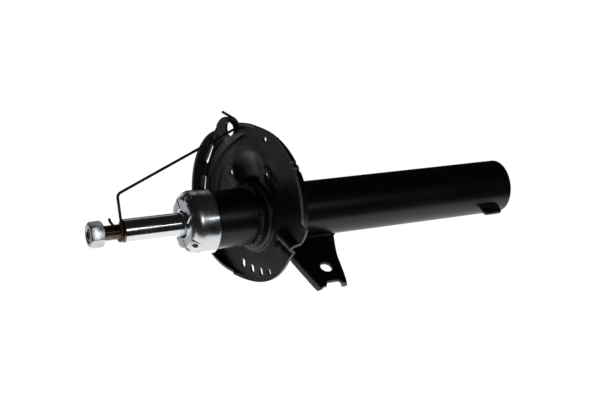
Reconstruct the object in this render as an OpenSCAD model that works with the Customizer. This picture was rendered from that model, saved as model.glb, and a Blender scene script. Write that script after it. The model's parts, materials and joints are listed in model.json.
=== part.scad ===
// Suspension strut: twin-tube damper with a welded spring seat, a drop-link bracket and a
// wire that holds the rod part-way in. It stands on the lower end of its tube, and +Z runs
// along the rod. +X is the side with the ear of the spring seat.

/* [Damper tube] */
// Outer diameter of the damper tube
tube_d = 55; // [50:1:60]
// Wall of the damper tube
tube_wall = 2; // [1.6:0.2:2.4]
// Length of the damper tube
tube_len = 352; // [346:1:356]

/* [Rod] */
// Diameter of the piston rod
rod_d = 22; // [20:0.5:22]
// Height of the shoulder where the threaded neck starts
shoulder_z = 419.3; // [416:0.5:424]
// Height of the top of the rod
rod_top_z = 450; // [445:1:456]
// Diameter of the threaded neck
neck_d = 14; // [12:1:14]
// Width across the flats of the rod nut
nut_flats = 21; // [20:1:24]
// Height of the rod nut
nut_h = 13.5; // [11:0.5:14]

/* [Spring seat] */
// Height of the middle of the seat plate
seat_z = 285; // [275:1:290]
// How far the seat's middle stands off the rod's axis
seat_shift = 12.7; // [8:0.1:14]
// Slant of the seat plate
seat_slant = 12; // [8:1:14]
// Thickness of the pressed steel
seat_t = 3; // [2.4:0.2:3.4]
// Mean reach of the seat plate from its middle
seat_reach = 77; // [75:0.5:79]
// Height of the rim on the high side
high_rim_h = 13; // [10:1:15]
// Height of the rim on the low side
low_rim_h = 8; // [6:1:10]

/* [Drop-link bracket] */
// Bore for the drop link
link_bore_d = 12; // [10:0.5:13]
// Distance of that bore from the rod's axis, along the bracket
link_reach = 62; // [60:1:70]
// Height of that bore
link_z = 231; // [228:1:236]
// Thickness of the bracket's steel
bracket_t = 3.5; // [3:0.5:4]
// Depth of the channel
channel_d = 11; // [9:1:13]

/* [Bump cap] */
// Outer diameter of the bump cap
cap_d = 60.6; // [60:0.2:61.4]
// Height of the cap's lower edge
cap_z = 333; // [328:1:338]
// Height of the cap's flat face
cap_top_z = 361; // [360.5:0.5:361.5]

/* [Retaining wire] */
// Diameter of the wire
wire_d = 2.4; // [2:0.2:2.6]

/* [Hidden] */
$fn = 96;

tube_r = tube_d / 2;
tube_in_r = tube_r - tube_wall;
rod_r = rod_d / 2;
neck_r = neck_d / 2;
running_gap = 0.05;
loose_gap = 0.3;
cut = 1;

// Lower end: cap, valve and pressure tube
base_cap_t = 4;
valve_foot_z = 8;
valve_flange_z = valve_foot_z + 6;
valve_flange_t = 4;
pressure_z = valve_flange_z + valve_flange_t;
valve_top_z = pressure_z + 6;
pressure_out_r = 18;
pressure_in_r = 16;
valve_pin_r = 2.5;

// Upper end: guide, seal and rolled lip
lip_t = 3.5;
lip_z = tube_len - lip_t;
lip_in_r = 20;
washer_t = 2.5;
washer_z = lip_z - washer_t;
seal_h = 7;
seal_z = washer_z - seal_h;
guide_flange_t = 13;
guide_flange_z = seal_z - guide_flange_t;
guide_spigot_h = 12;
bush_out_r = rod_r + 2;
garter_r = 0.8;

// Piston stack on the lower spigot of the rod
spigot_r = 6;
spigot_z = 94;
stack_nut_z = spigot_z + 1;
stack_nut_h = 8;
shim_z = stack_nut_z + stack_nut_h;
shim_t = 2.5;
piston_z = shim_z + shim_t;
piston_h = 12.5;
check_z = piston_z + piston_h;
check_t = 0.6;
spring_t = 1.9;
support_z = check_z + check_t + spring_t;
support_t = 3;
rod_foot_z = support_z + support_t;
piston_r = pressure_in_r - loose_gap;
band_in_r = 14.9;
band_z = piston_z + 3;
band_h = 6;
stop_z = 190;
stop_h = 6;
bumper_h = 10;

seat_frame = [seat_shift, 0, seat_z];
// How much further than its mean the seat reaches, by angle from +X
seat_edge = [[-180, -0.5], [-165, -2], [-150, -4.5], [-135, -6.5], [-125, -5], [-116, 1.5],
    [-106, 4.5], [-96, 5.5], [-84, 3.5], [-70, 0], [-55, -3.5], [-38, -6.5], [-20, -7],
    [-5, -4.5], [8, -1], [30, 3], [50, 6.5], [70, 6.5], [95, 5.5], [115, 5], [135, 4],
    [150, 3], [165, 1.5], [180, -0.5]];
hub_r = tube_r + 3;
hub_h = 12;
wire_hole_at = [71.6, 26.2];
wire_hole_r = 7;
ear_at = [77, 35];
ear_r = 8.5;

bracket_turn = -133.8;
web_n = -17.4;
tip_reach = 84.6;
tab_turn = 225;

wire_r = wire_d / 2;
hook_r = neck_r + wire_r + 0.4;
hook_z = shoulder_z + wire_r + 0.3;
wire_sides = 10;
stub_tip = [11, hook_r + 1, 427];
wire_bend = [34, -8.6, 422];
wire_through = [85, 24.5, 291];
wire_under = [86.5, 28, 281.5];
wire_round = [93, 20, 287];
wire_tip = [101.5, 14, 303];

// A ring between two radii
module ring(out_r, in_r, z, h) {
    translate([0, 0, z])
        difference() {
            cylinder(r = out_r, h = h);
            translate([0, 0, -cut])
                cylinder(r = in_r, h = h + 2 * cut);
        }
}

// A ring of upright drillings
module drillings(count, pitch_r, hole_r, z, h, first = 0) {
    for (i = [0 : count - 1])
        rotate([0, 0, first + i * 360 / count])
            translate([pitch_r, 0, z])
                cylinder(r = hole_r, h = h, $fn = 32);
}

function unit(v) = v / norm(v);

// Points that round the corner of a bent wire
function corner(before, at, after, reach) = [for (t = [0 : 0.25 : 1])
    at + (1 - t) * (1 - t) * reach * unit(before - at) + t * t * reach * unit(after - at)];

// Way that a path runs at one of its points
function heading(path, i) =
    unit(path[min(i + 1, len(path) - 1)] - path[max(i - 1, 0)]);

// Ring of points round a path, level on the side that faces up
function wire_ring(at, along) =
    let (side = unit(cross([0, 0, 1], along)), up = cross(along, side))
    [for (a = [0 : 360 / wire_sides : 359])
        at + wire_r * (cos(a) * side + sin(a) * up)];

// Round wire along a path
module wire_along(path) {
    n = len(path);
    rings = [for (i = [0 : n - 1]) each wire_ring(path[i], heading(path, i))];
    walls = [for (i = [0 : n - 2], k = [0 : wire_sides - 1])
        let (next = (k + 1) % wire_sides, here = i * wire_sides)
        [here + k, here + wire_sides + k, here + wire_sides + next, here + next]];
    first_end = [[for (k = [0 : wire_sides - 1]) k]];
    last_end = [[for (k = [wire_sides - 1 : -1 : 0]) (n - 1) * wire_sides + k]];
    polyhedron(points = rings, faces = concat(walls, first_end, last_end));
}

// Everything that the damper tube takes up
module tube_space() {
    translate([0, 0, -cut])
        cylinder(r = tube_r, h = tube_len + 2 * cut);
}

// Open tube with a rounded lower edge and a lip rolled over the seal
module reservoir_tube() {
    edge = 1.2;
    color([0.05, 0.05, 0.055])
        rotate_extrude()
            polygon([[tube_in_r, 0], [tube_r - edge, 0], [tube_r - edge * 0.3, edge * 0.3],
                [tube_r, edge], [tube_r, tube_len - 2], [tube_r - 2, tube_len],
                [lip_in_r, tube_len], [lip_in_r, lip_z], [tube_in_r, lip_z]]);
}

// Dished plate that closes the lower end, flush with the tube at its middle
module base_cap() {
    color([0.06, 0.06, 0.065])
        rotate_extrude()
            polygon([[0, 0], [15, 0], [18, 2], [tube_in_r, 2], [tube_in_r, valve_foot_z],
                [12.5, valve_foot_z], [10, base_cap_t], [0, base_cap_t]]);
}

// Outline of the seat plate
function seat_outline(inset) = [for (a = [-180 : 5 : 175])
    (seat_reach + lookup(a, seat_edge) - inset) * [cos(a), sin(a)]];

// A stretch of upturned rim between two angles
module rim(from, to, h) {
    reach = 140;
    middle = (from + to) / 2;
    linear_extrude(height = h)
        intersection() {
            difference() {
                polygon(seat_outline(0));
                polygon(seat_outline(seat_t));
            }
            polygon([[0, 0], reach * [cos(from), sin(from)],
                reach * [cos(middle), sin(middle)], reach * [cos(to), sin(to)]]);
        }
}

// Slot in the seat at an angle and a distance from its middle: length runs round the edge
module edge_slot(angle, reach, length, width) {
    rotate([0, 0, angle])
        translate([reach - width / 2, -length / 2, -cut])
            cube([width, length, seat_t + 2 * cut]);
}

// Hole with round ends along X, centred at a point of the plate
module drain_slot(at, length, width) {
    run = (length - width) / 2;
    ends = [for (a = [0 : 20 : 340])
        [(cos(a) > 0 ? run : -run) + width / 2 * cos(a), width / 2 * sin(a)]];
    translate([at[0], at[1], -cut])
        linear_extrude(height = seat_t + 2 * cut)
            polygon(ends);
}

// Pressed plate with rims, an ear, holes and slots, slanted on a hub that fits the tube
module spring_seat() {
    drains = [[[-59, 25], 8.6, 6], [[-64.5, 12], 8, 5.4], [[-67, -1.5], 7.6, 4.6],
        [[-67, -14.5], 6, 3.8]];
    color([0.07, 0.07, 0.075])
        difference() {
            union() {
                translate(seat_frame)
                    rotate([seat_slant, 0, 0])
                        difference() {
                            union() {
                                linear_extrude(height = seat_t)
                                    polygon(seat_outline(0));
                                rim(36.5, 126.5, high_rim_h);
                                rim(123.5, 153.5, low_rim_h);
                                rim(253, 318, low_rim_h);
                                translate([ear_at[0], ear_at[1], 0])
                                    cylinder(r = ear_r, h = seat_t, $fn = 48);
                                translate([wire_hole_at[0], wire_hole_at[1], 0])
                                    cylinder(r = wire_hole_r + 2.5, h = seat_t, $fn = 48);
                            }
                            translate([wire_hole_at[0], wire_hole_at[1], -cut])
                                cylinder(r = wire_hole_r, h = high_rim_h, $fn = 48);
                            edge_slot(54, 76.5, 20, 3);
                            edge_slot(75.5, 76.5, 14, 2.4);
                            for (drain = drains)
                                drain_slot(drain[0], drain[1], drain[2]);
                            for (p = [[30, 30], [25, -27], [58, -27]])
                                translate([p[0], p[1], -cut])
                                    cylinder(r = 2.6, h = seat_t + 2 * cut, $fn = 32);
                        }
                translate([0, 0, seat_z - hub_h / 2])
                    cylinder(r = hub_r, h = hub_h + 4);
            }
            tube_space();
        }
}

// Beads of weld between the hub of the seat and the tube
module seat_weld() {
    bead = 2.4;
    color([0.09, 0.09, 0.095])
        for (a = [200 : 120 : 440])
            rotate([0, 0, a])
                translate([0, 0, seat_z + hub_h / 2 + 4])
                    rotate_extrude(angle = 75)
                        polygon([[tube_r, 0], [tube_r + bead, 0], [tube_r + bead * 0.8, 1.2],
                            [tube_r, bead]]);
}

// Side view of the drop-link bracket, wide at the tube and narrow at its far end
module bracket_side(from) {
    polygon([[from, 200], [32, 206.5], [50, 211.2], [link_reach, 213],
        [tip_reach - 2.4, 217.4], [tip_reach, 221], [tip_reach, 242],
        [tip_reach - 2.4, 246], [link_reach, 251.8], [40, 257], [from, 260]]);
}

// Hollow of the channel, between its two flanges
module bracket_hollow() {
    polygon([[0, 197.8 + bracket_t], [32, 206.5 + bracket_t], [50, 211.2 + bracket_t],
        [link_reach, 213 + bracket_t], [tip_reach + cut, 218 + bracket_t],
        [tip_reach + cut, 245 - bracket_t], [link_reach, 251.8 - bracket_t],
        [40, 257 - bracket_t], [0, 260.8 - bracket_t]]);
}

// Channel that stands off the tube and takes the drop link
module link_bracket() {
    color([0.07, 0.07, 0.075])
        difference() {
            rotate([0, 0, bracket_turn])
                translate([0, web_n, 0])
                    rotate([90, 0, 0])
                        difference() {
                            linear_extrude(height = channel_d)
                                bracket_side(8);
                            translate([0, 0, bracket_t])
                                linear_extrude(height = channel_d)
                                    bracket_hollow();
                            translate([link_reach, link_z, -cut])
                                cylinder(r = link_bore_d / 2, h = bracket_t + 2 * cut);
                        }
            tube_space();
        }
}

// Upright bead of weld in the corner between the bracket and the tube
module bracket_weld() {
    corner_at = sqrt(tube_r * tube_r - web_n * web_n);
    color([0.09, 0.09, 0.095])
        difference() {
            rotate([0, 0, bracket_turn])
                translate([corner_at, web_n, 209])
                    cylinder(r = 2.6, h = 44, $fn = 32);
            tube_space();
            rotate([0, 0, bracket_turn])
                translate([0, web_n - channel_d, 190])
                    cube([tip_reach, channel_d, 80]);
        }
}

// Fin that sets how far the strut goes into its clamp, and which way it faces
module locating_tab() {
    fin_t = 3;
    color([0.07, 0.07, 0.075])
        difference() {
            rotate([90, 0, tab_turn])
                translate([0, 0, -fin_t / 2])
                    linear_extrude(height = fin_t)
                        polygon([[tube_r - 1, 36.5], [tube_r - 1, 13.5],
                            [tube_r + 9.6, 15], [tube_r + 10.5, 16.5],
                            [tube_r + 10.5, 35], [tube_r + 9.5, 36.5]]);
            tube_space();
        }
}

// Pressed cap with a broad rounded shoulder and a flat face for the bump stop
module bump_cap() {
    wall = 2.5;
    cap_r = cap_d / 2;
    flat_r = 20;
    shoulder_foot = cap_top_z - 11;
    outside = [for (t = [90 : -7.5 : 0])
        [flat_r + (cap_r - flat_r) * sin(t), shoulder_foot + 11 * cos(t)]];
    inside = [for (t = [0 : 7.5 : 90])
        [flat_r + (tube_r - flat_r) * sin(t), tube_len - 1 + (10 - wall) * cos(t)]];
    color([0.75, 0.77, 0.8])
        rotate_extrude()
            polygon(concat([[tube_r, cap_z], [cap_r, cap_z]], outside,
                [[12.6, cap_top_z], [12.6, cap_top_z - wall]], inside));
}

module pressure_tube() {
    color([0.55, 0.56, 0.58])
        ring(pressure_out_r, pressure_in_r, pressure_z,
            guide_flange_z - pressure_z);
}

// Sintered guide with drain notches, a spigot for the pressure tube and a seat for the bush
module rod_guide() {
    color([0.4, 0.4, 0.4])
        difference() {
            union() {
                ring(tube_in_r, bush_out_r, guide_flange_z, guide_flange_t);
                ring(pressure_in_r, bush_out_r, guide_flange_z - guide_spigot_h,
                    guide_spigot_h + cut);
            }
            drillings(6, tube_in_r, 2.5, guide_flange_z - cut, guide_flange_t + 2 * cut);
        }
}

module guide_bush() {
    color([0.5, 0.35, 0.2])
        ring(bush_out_r, rod_r + running_gap, guide_flange_z - guide_spigot_h + 2, 18);
}

// Rubber seal with two lips and a groove for the garter spring
module rod_seal() {
    lip_r = rod_r + running_gap;
    groove_r = rod_r + 2.5;
    color([0.1, 0.1, 0.1])
        difference() {
            ring(tube_in_r, lip_r, seal_z, seal_h);
            ring(groove_r + 2 * garter_r, groove_r, seal_z + 4, seal_h);
            ring(rod_r + 1.5, lip_r - cut, seal_z + 2, 1.5);
        }
}

module seal_garter() {
    color([0.6, 0.6, 0.62])
        rotate_extrude()
            translate([rod_r + 2.5 + garter_r, seal_z + 4 + garter_r])
                circle(r = garter_r - 0.05, $fn = 24);
}

module seal_washer() {
    color([0.6, 0.6, 0.62])
        ring(tube_in_r, lip_in_r - 4, washer_z, washer_t);
}

// Foot valve that the pressure tube stands on
module base_valve_body() {
    color([0.45, 0.45, 0.45])
        difference() {
            union() {
                ring(pressure_out_r, 13, valve_foot_z, 6);
                translate([0, 0, valve_flange_z])
                    cylinder(r = pressure_out_r, h = valve_flange_t);
                translate([0, 0, pressure_z - cut])
                    cylinder(r = pressure_in_r, h = valve_top_z - pressure_z + cut);
            }
            for (a = [0 : 60 : 120])
                rotate([0, 0, a])
                    translate([-20, -3, valve_foot_z - cut])
                        cube([40, 6, 4]);
            drillings(6, 5.8, 1.4, valve_flange_z - cut, 20);
            drillings(8, 11.5, 1.6, valve_flange_z - cut, 20);
            translate([0, 0, valve_flange_z - cut])
                cylinder(r = valve_pin_r, h = 20);
        }
}

module base_valve_discs() {
    color([0.65, 0.66, 0.68]) {
        ring(9, valve_pin_r, valve_flange_z - 0.5, 0.5);
        ring(8, valve_pin_r, valve_flange_z - 1, 0.5);
        ring(7, valve_pin_r, valve_flange_z - 1.5, 0.5);
    }
}

module base_check_disc() {
    color([0.65, 0.66, 0.68])
        difference() {
            ring(14.5, valve_pin_r, valve_top_z, 0.6);
            drillings(6, 5.8, 1.8, valve_top_z - cut, 3);
        }
}

// Dished star spring that holds the check disc down
module base_check_spring() {
    foot_z = valve_top_z + 0.6;
    color([0.7, 0.7, 0.72])
        difference() {
            rotate_extrude()
                polygon([[valve_pin_r, foot_z + 1.6], [13.5, foot_z], [13.5, foot_z + 0.5],
                    [valve_pin_r, foot_z + 2.1]]);
            drillings(6, 8.5, 2.6, foot_z - cut, 5, 30);
        }
}

module base_valve_pin() {
    lower_z = valve_flange_z - 1.5;
    upper_z = valve_top_z + 2.7;
    color([0.5, 0.5, 0.52]) {
        translate([0, 0, lower_z])
            cylinder(r = valve_pin_r, h = upper_z - lower_z);
        translate([0, 0, lower_z - 2])
            cylinder(r1 = 3.8, r2 = 4.6, h = 2);
        translate([0, 0, upper_z])
            cylinder(r1 = 4.6, r2 = 3.8, h = 1.3);
    }
}

// Low-friction band that carries the piston in the pressure tube
module piston_band() {
    color([0.2, 0.16, 0.1])
        ring(pressure_in_r - running_gap, band_in_r, band_z, band_h);
}

// Rod with a spigot for the piston, a shoulder and a threaded neck with a hex socket
module piston_rod() {
    chamfer = 1.5;
    socket_flats = 7;
    color([0.78, 0.8, 0.82])
        difference() {
            rotate_extrude()
                polygon([[0, spigot_z], [spigot_r - 1, spigot_z], [spigot_r, spigot_z + 1],
                    [spigot_r, rod_foot_z], [rod_r, rod_foot_z],
                    [rod_r, shoulder_z - chamfer], [rod_r - chamfer, shoulder_z],
                    [neck_r, shoulder_z], [neck_r, rod_top_z - 1], [neck_r - 1, rod_top_z],
                    [0, rod_top_z]]);
            translate([0, 0, rod_top_z - 8])
                cylinder(d = socket_flats / cos(30), h = 8 + cut, $fn = 6);
        }
}

// Chamfered hexagon nut
module rod_nut() {
    nut_z = rod_top_z - nut_h;
    corner_r = nut_flats / 2 / cos(30);
    color([0.72, 0.74, 0.77])
        difference() {
            intersection() {
                translate([0, 0, nut_z])
                    cylinder(r = corner_r, h = nut_h, $fn = 6);
                rotate_extrude()
                    polygon([[0, nut_z], [nut_flats / 2 - 0.3, nut_z],
                        [corner_r + 0.1, nut_z + 1.4], [corner_r + 0.1, rod_top_z - 1.4],
                        [nut_flats / 2 - 0.3, rod_top_z], [0, rod_top_z]]);
            }
            translate([0, 0, nut_z - cut])
                cylinder(r = neck_r, h = nut_h + 2 * cut);
        }
}

module rebound_stop() {
    color([0.5, 0.5, 0.52])
        ring(14.5, rod_r, stop_z, stop_h);
}

module rebound_bumper() {
    color([0.15, 0.15, 0.14])
        rotate_extrude()
            polygon([[rod_r, stop_z + stop_h], [14.5, stop_z + stop_h],
                [15, stop_z + stop_h + 3], [14, stop_z + stop_h + bumper_h],
                [rod_r, stop_z + stop_h + bumper_h]]);
}

// Sintered piston with a groove for its band
module piston() {
    groove_r = band_in_r - loose_gap;
    color([0.42, 0.42, 0.42])
        difference() {
            ring(piston_r, spigot_r, piston_z, piston_h);
            ring(piston_r + cut, groove_r, band_z - loose_gap, band_h + 2 * loose_gap);
            drillings(6, 8.5, 1.3, piston_z - cut, piston_h + 2 * cut);
            drillings(6, 12, 1.4, piston_z - cut, piston_h + 2 * cut, 30);
        }
}

module rebound_discs() {
    color([0.65, 0.66, 0.68])
        for (i = [0 : 4])
            ring(11 - 0.8 * i, spigot_r, shim_z + shim_t - 0.5 * (i + 1), 0.5);
}

module piston_check_disc() {
    color([0.65, 0.66, 0.68])
        difference() {
            ring(14, spigot_r, check_z, check_t);
            drillings(6, 8.5, 1.6, check_z - cut, 3);
        }
}

module piston_check_spring() {
    foot_z = check_z + check_t;
    color([0.7, 0.7, 0.72])
        rotate_extrude()
            polygon([[spigot_r, foot_z + spring_t - 0.5], [13, foot_z], [13, foot_z + 0.5],
                [spigot_r, foot_z + spring_t]]);
}

module support_washer() {
    color([0.5, 0.5, 0.52])
        ring(12.5, spigot_r, support_z, support_t);
}

module piston_nut() {
    color([0.5, 0.5, 0.52])
        difference() {
            translate([0, 0, stack_nut_z])
                cylinder(d = 17 / cos(30), h = stack_nut_h, $fn = 6);
            translate([0, 0, stack_nut_z - cut])
                cylinder(r = spigot_r, h = stack_nut_h + 2 * cut);
        }
}

// Bent steel wire, hooked round the neck and through the seat's edge
module retaining_wire() {
    hook = [for (a = [90 : 15 : 270]) [hook_r * cos(a), hook_r * sin(a), hook_z]];
    shank_foot = hook[len(hook) - 1];
    color([0.16, 0.1, 0.07])
        wire_along(concat([stub_tip], hook,
            corner(shank_foot, wire_bend, wire_through, 5),
            corner(wire_bend, wire_under, wire_round, 5),
            corner(wire_under, wire_round, wire_tip, 5), [wire_tip]));
}

reservoir_tube();
base_cap();
spring_seat();
seat_weld();
link_bracket();
bracket_weld();
locating_tab();
bump_cap();
pressure_tube();
rod_guide();
guide_bush();
rod_seal();
seal_garter();
seal_washer();
base_valve_body();
base_valve_discs();
base_check_disc();
base_check_spring();
base_valve_pin();
piston_band();
piston_rod();
rod_nut();
rebound_stop();
rebound_bumper();
piston();
rebound_discs();
piston_check_disc();
piston_check_spring();
support_washer();
piston_nut();
retaining_wire();
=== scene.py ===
import json
import math

import bmesh
import bpy
from mathutils import Matrix, Vector, noise


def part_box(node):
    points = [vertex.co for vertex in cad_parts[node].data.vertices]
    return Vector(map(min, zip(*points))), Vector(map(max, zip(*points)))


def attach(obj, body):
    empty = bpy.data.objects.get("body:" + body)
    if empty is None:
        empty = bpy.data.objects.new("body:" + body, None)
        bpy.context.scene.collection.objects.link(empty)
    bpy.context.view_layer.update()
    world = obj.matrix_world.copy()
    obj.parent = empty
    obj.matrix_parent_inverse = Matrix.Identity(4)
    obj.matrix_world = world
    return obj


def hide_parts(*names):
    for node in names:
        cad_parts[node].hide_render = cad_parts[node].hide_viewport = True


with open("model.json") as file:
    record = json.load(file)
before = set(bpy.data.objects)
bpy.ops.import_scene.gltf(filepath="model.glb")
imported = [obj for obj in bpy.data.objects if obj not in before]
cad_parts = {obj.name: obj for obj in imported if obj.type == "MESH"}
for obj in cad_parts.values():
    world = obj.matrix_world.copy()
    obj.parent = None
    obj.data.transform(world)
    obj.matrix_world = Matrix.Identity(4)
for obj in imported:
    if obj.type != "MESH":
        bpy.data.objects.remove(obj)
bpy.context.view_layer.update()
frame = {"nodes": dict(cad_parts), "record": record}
nodes = frame["nodes"]
scene = bpy.context.scene
mm = 0.001
print("frame loaded:", len(nodes), "nodes")

# Places that every piece is built from
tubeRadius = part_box("reservoir_tube")[1].x
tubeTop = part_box("reservoir_tube")[1].z
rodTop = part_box("piston_rod")[1].z
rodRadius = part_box("piston_rod")[1].x
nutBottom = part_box("rod_nut")[0].z
capLow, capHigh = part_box("bump_cap")
seatMiddle = Vector((12.7 * mm, 0, 285 * mm))
seatSlant = math.radians(12)
seatTurn = Matrix.Translation(seatMiddle) @ Matrix.Rotation(seatSlant, 4, "X")
bracketTurn = Matrix.Rotation(math.radians(-133.8), 4, "Z")


def smooth(x, low, high):
    # eased step from 0 at low to 1 at high
    t = min(max((x - low) / (high - low), 0.0), 1.0)
    return t * t * (3 - 2 * t)


def bump(x, middle, width):
    # round hill of height 1
    return math.exp(-((x - middle) / width) ** 2)


def easedTable(table, x, period=360.0):
    # smooth curve through listed points, closed over one turn
    n = len(table)
    x = (x - table[0][0]) % period + table[0][0]
    i = max(k for k in range(n) if table[k][0] <= x)

    def entry(k):
        return table[k % n][0] + period * (k // n), table[k % n][1]

    (xa, ya), (x0, y0), (x1, y1), (xb, yb) = (entry(i + k) for k in (-1, 0, 1, 2))
    t = (x - x0) / (x1 - x0)
    a = (y1 - ya) / (x1 - xa) * (x1 - x0)
    b = (yb - y0) / (xb - x0) * (x1 - x0)
    return ((2*t**3 - 3*t**2 + 1) * y0 + (t**3 - 2*t**2 + t) * a
            + (3*t**2 - 2*t**3) * y1 + (t**3 - t**2) * b)


# ---- materials ----

def newMaterial(name, color, metallic, roughness, **sockets):
    mat = bpy.data.materials.new(name)
    mat.use_nodes = True
    shader = mat.node_tree.nodes["Principled BSDF"]
    shader.inputs["Base Color"].default_value = (*color, 1)
    shader.inputs["Metallic"].default_value = metallic
    shader.inputs["Roughness"].default_value = roughness
    for socket, value in sockets.items():
        shader.inputs[socket.replace("_", " ")].default_value = value
    mat.diffuse_color = (*color, 1)
    return mat


def addNode(mat, kind, settings=None, **inputs):
    node = mat.node_tree.nodes.new(kind)
    for key, value in (settings or {}).items():
        setattr(node, key, value)
    for key, value in inputs.items():
        node.inputs[key.replace("_", " ")].default_value = value
    return node


def link(mat, source, output, target, socket):
    mat.node_tree.links.new(source.outputs[output], target.inputs[socket])


def noiseOn(mat, scale, detail=4.0, stretch=(1, 1, 1), roughness=0.55):
    # noise in the object's own metres, stretched along an axis if asked
    coords = addNode(mat, "ShaderNodeTexCoord")
    mapping = addNode(mat, "ShaderNodeMapping")
    mapping.inputs["Scale"].default_value = stretch
    tex = addNode(mat, "ShaderNodeTexNoise", Scale=scale, Detail=detail, Roughness=roughness)
    link(mat, coords, "Object", mapping, "Vector")
    link(mat, mapping, "Vector", tex, "Vector")
    return tex


def ramp(mat, source, output, stops):
    node = addNode(mat, "ShaderNodeValToRGB")
    elements = node.color_ramp.elements
    while len(elements) < len(stops):
        elements.new(0.5)
    for element, (place, color) in zip(elements, stops):
        element.position = place
        element.color = (*color, 1) if len(color) == 3 else color
    link(mat, source, output, node, "Fac")
    return node


def remap(mat, source, output, low, high, newLow, newHigh):
    node = addNode(mat, "ShaderNodeMapRange")
    for i, value in enumerate((low, high, newLow, newHigh), 1):
        node.inputs[i].default_value = value
    link(mat, source, output, node, "Value")
    return node


def mixColor(mat, factor, under, color):
    # lays a colour over the under socket, as much as the factor node says
    node = addNode(mat, "ShaderNodeMix", {"data_type": "RGBA"})
    node.inputs["B"].default_value = (*color, 1)
    link(mat, factor, "Result", node, "Factor")
    mat.node_tree.links.new(under, node.inputs["A"])
    return [out for out in node.outputs if out.type == "RGBA"][0]


def addBump(mat, layers):
    # layers of (source, output, depth in metres), laid on top of each other
    shader = mat.node_tree.nodes["Principled BSDF"]
    last = None
    for source, output, depth in layers:
        node = addNode(mat, "ShaderNodeBump", Distance=depth, Strength=1.0)
        link(mat, source, output, node, "Height")
        if last:
            link(mat, last, "Normal", node, "Normal")
        last = node
    link(mat, last, "Normal", shader, "Normal")


def blackCoat(name="blackCoat", color=(0.0045, 0.0045, 0.0052), edgeWearAndHighlight=0.55, grain=0.00003):
    # baked satin coat over steel: fine orange peel, handling marks, and edges tinted paler, partly real
    # wear and partly a painted highlight
    mat = newMaterial(name, color, 0.0, 0.42, Specular_IOR_Level=0.45)
    shader = mat.node_tree.nodes["Principled BSDF"]
    clouds = noiseOn(mat, 28, 6)
    smears = noiseOn(mat, 60, 5, (1, 1, 0.25))
    peel = noiseOn(mat, 900, 2)
    dust = noiseOn(mat, 420, 8, roughness=0.75)
    tone = ramp(mat, clouds, "Fac", [(0.3, color), (0.7, tuple(1.9 * c for c in color))])
    edge = addNode(mat, "ShaderNodeNewGeometry")
    # edges tinted paler by Pointiness: partly real rubbed wear, partly a painted highlight where edges
    # would catch the light
    wearAndHighlightMask = remap(mat, edge, "Pointiness", 0.52, 0.6, 0.0, edgeWearAndHighlight)
    withWornAndLitEdge = mixColor(mat, wearAndHighlightMask, tone.outputs["Color"], (0.34, 0.34, 0.36))
    specks = remap(mat, dust, "Fac", 0.68, 0.8, 0.0, 0.16)
    dusty = mixColor(mat, specks, withWornAndLitEdge, (0.2, 0.19, 0.18))
    mat.node_tree.links.new(dusty, shader.inputs["Base Color"])
    rough = remap(mat, smears, "Fac", 0.3, 0.75, 0.26, 0.42)
    link(mat, rough, "Result", shader, "Roughness")
    addBump(mat, [(peel, "Fac", grain), (clouds, "Fac", 0.00015)])
    return mat


def zincPlate():
    # bright bluish plating with cloudy haze, pressing lines and small rubbed spots
    mat = newMaterial("zincPlate", (0.74, 0.78, 0.82), 1.0, 0.2)
    shader = mat.node_tree.nodes["Principled BSDF"]
    haze = noiseOn(mat, 70, 6)
    lines = noiseOn(mat, 240, 4, (1, 1, 6))
    spots = noiseOn(mat, 300, 3)
    tone = ramp(mat, haze, "Fac", [(0.3, (0.6, 0.66, 0.72)), (0.5, (0.78, 0.81, 0.84)),
                                   (0.72, (0.84, 0.84, 0.8))])
    link(mat, tone, "Color", shader, "Base Color")
    rough = remap(mat, haze, "Fac", 0.3, 0.7, 0.13, 0.34)
    link(mat, rough, "Result", shader, "Roughness")
    addBump(mat, [(lines, "Fac", 0.000003), (spots, "Fac", 0.000005), (haze, "Fac", 0.00003)])
    return mat


def rodChrome():
    # ground and hard chromed: mirror bright with faint rings from the grinding
    mat = newMaterial("rodChrome", (0.86, 0.87, 0.89), 1.0, 0.06, Anisotropic=0.4)
    shader = mat.node_tree.nodes["Principled BSDF"]
    rings = noiseOn(mat, 60, 5, (0.2, 0.2, 60))
    haze = noiseOn(mat, 40, 5)
    rough = remap(mat, haze, "Fac", 0.35, 0.7, 0.08, 0.16)
    link(mat, rough, "Result", shader, "Roughness")
    tone = ramp(mat, haze, "Fac", [(0.3, (0.8, 0.82, 0.85)), (0.7, (0.9, 0.9, 0.9))])
    link(mat, tone, "Color", shader, "Base Color")
    addBump(mat, [(rings, "Fac", 0.0000004)])
    return mat


def threadSteel():
    # rolled thread in a dark bronze phosphate finish, crests rubbed bright
    mat = newMaterial("threadSteel", (0.12, 0.085, 0.06), 0.9, 0.22)
    shader = mat.node_tree.nodes["Principled BSDF"]
    blotch = noiseOn(mat, 180, 6)
    tone = ramp(mat, blotch, "Fac", [(0.3, (0.1, 0.075, 0.06)), (0.55, (0.2, 0.15, 0.12)),
                                     (0.8, (0.3, 0.23, 0.18))])
    edge = addNode(mat, "ShaderNodeNewGeometry")
    crest = remap(mat, edge, "Pointiness", 0.53, 0.62, 0.0, 0.5)
    mixed = mixColor(mat, crest, tone.outputs["Color"], (0.42, 0.34, 0.26))
    mat.node_tree.links.new(mixed, shader.inputs["Base Color"])
    rough = remap(mat, blotch, "Fac", 0.3, 0.7, 0.16, 0.3)
    link(mat, rough, "Result", shader, "Roughness")
    addBump(mat, [(blotch, "Fac", 0.00001)])
    return mat


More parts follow.
